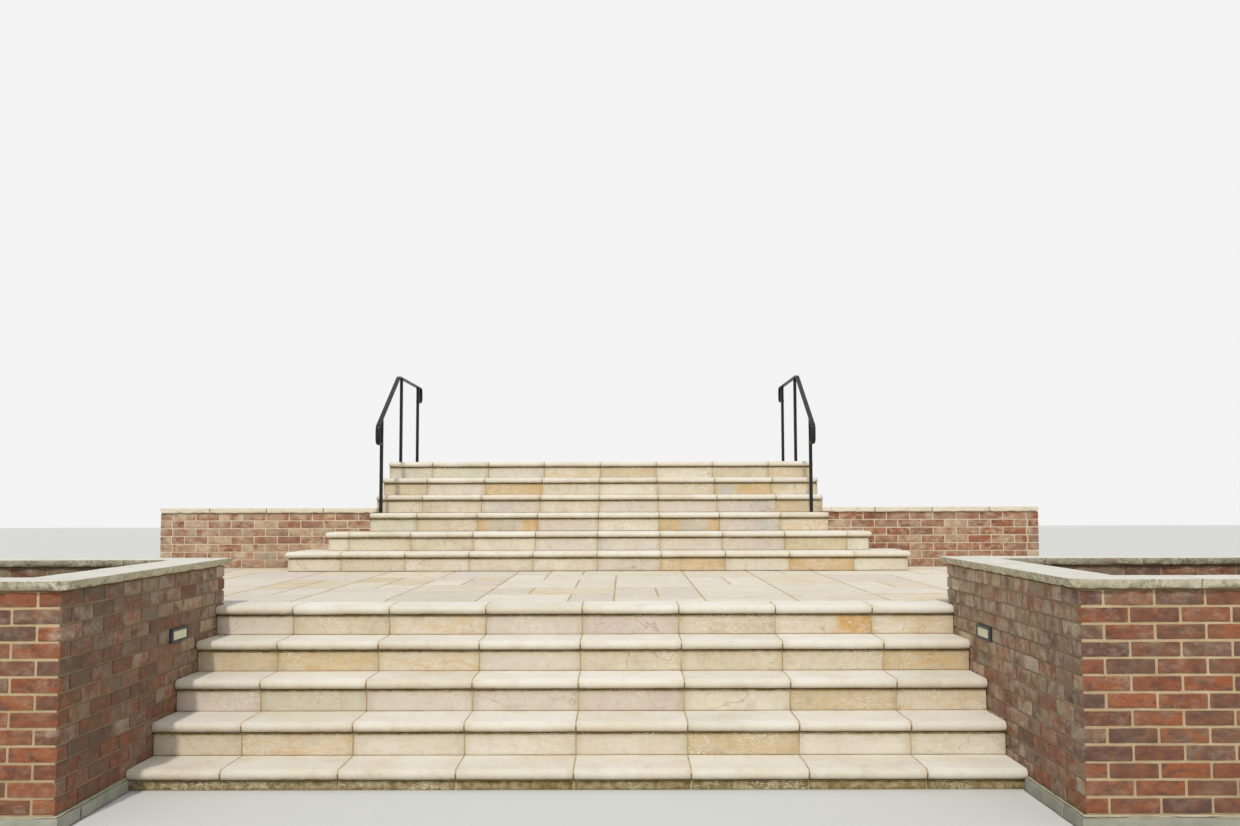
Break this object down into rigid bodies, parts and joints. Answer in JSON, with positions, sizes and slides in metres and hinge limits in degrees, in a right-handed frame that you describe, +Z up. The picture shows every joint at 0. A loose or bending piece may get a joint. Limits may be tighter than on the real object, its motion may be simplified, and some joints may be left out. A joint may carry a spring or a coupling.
{
  "type": "outdoor stone steps",
  "caption": "Wide garden steps in two stone flights with a paved landing, brick planters, low brick walls, wall lights and black steel handrails.",
  "frame": {"origin": "middle of the plan at ground level, on the axis of the steps", "axes": "+Y runs up the steps from the lawn towards the building, +X to the right as one climbs, +Z up"},
  "size_m": [8.57, 9.44, 2.765],
  "materials": {
    "masonry_core": "rough rubble and concrete",
    "riser_stone": "sawn sandstone, cream to ochre, fine bedding lines",
    "tread_stone": "pale sandstone with a rounded edge, lightly weathered",
    "paving": "riven pale sandstone flags, thin mortar joints",
    "coping_stone": "pale stone with split edges, lichen specks",
    "brickwork": "weathered red brick in stretcher bond, buff mortar",
    "concrete": "rough grey concrete",
    "light_metal": "dark blue-grey satin",
    "light_lens": "pale frosted diffuser",
    "black_steel": "black satin paint"
  },
  "bodies": {
    "root": {"lower_core": "masonry_core", "lower_risers": "riser_stone", "lower_tread_1": "tread_stone", "lower_tread_2": "tread_stone", "lower_tread_3": "tread_stone", "lower_tread_4": "tread_stone", "landing_edge": "tread_stone", "landing_core": "masonry_core", "landing_paving": "paving", "upper_core": "masonry_core", "upper_riser_1": "riser_stone", "upper_riser_2": "riser_stone", "upper_risers": "riser_stone", "upper_tread_1": "tread_stone", "upper_tread_2": "tread_stone", "upper_tread_3": "tread_stone", "upper_tread_4": "tread_stone", "upper_tread_5": "tread_stone", "top_landing_edge": "tread_stone", "top_landing_paving": "paving", "left_flank_wall": "brickwork", "right_flank_wall": "brickwork", "left_low_wall": "brickwork", "right_low_wall": "brickwork", "left_low_coping": "coping_stone", "right_low_coping": "coping_stone", "left_planter_inner_wall": "brickwork", "left_planter_front_wall": "brickwork", "left_planter_outer_wall": "brickwork", "left_planter_back_wall": "brickwork", "left_planter_coping": "coping_stone", "left_planter_footing": "concrete", "right_planter_inner_wall": "brickwork", "right_planter_front_wall": "brickwork", "right_planter_outer_wall": "brickwork", "right_planter_back_wall": "brickwork", "right_planter_coping": "coping_stone", "right_planter_footing": "concrete", "left_light_frame": "light_metal", "left_light_lens": "light_lens", "right_light_frame": "light_metal", "right_light_lens": "light_lens", "left_handrail": "black_steel", "left_handrail_posts": "black_steel", "right_handrail": "black_steel", "right_handrail_posts": "black_steel"}
  },
  "joints": []
}
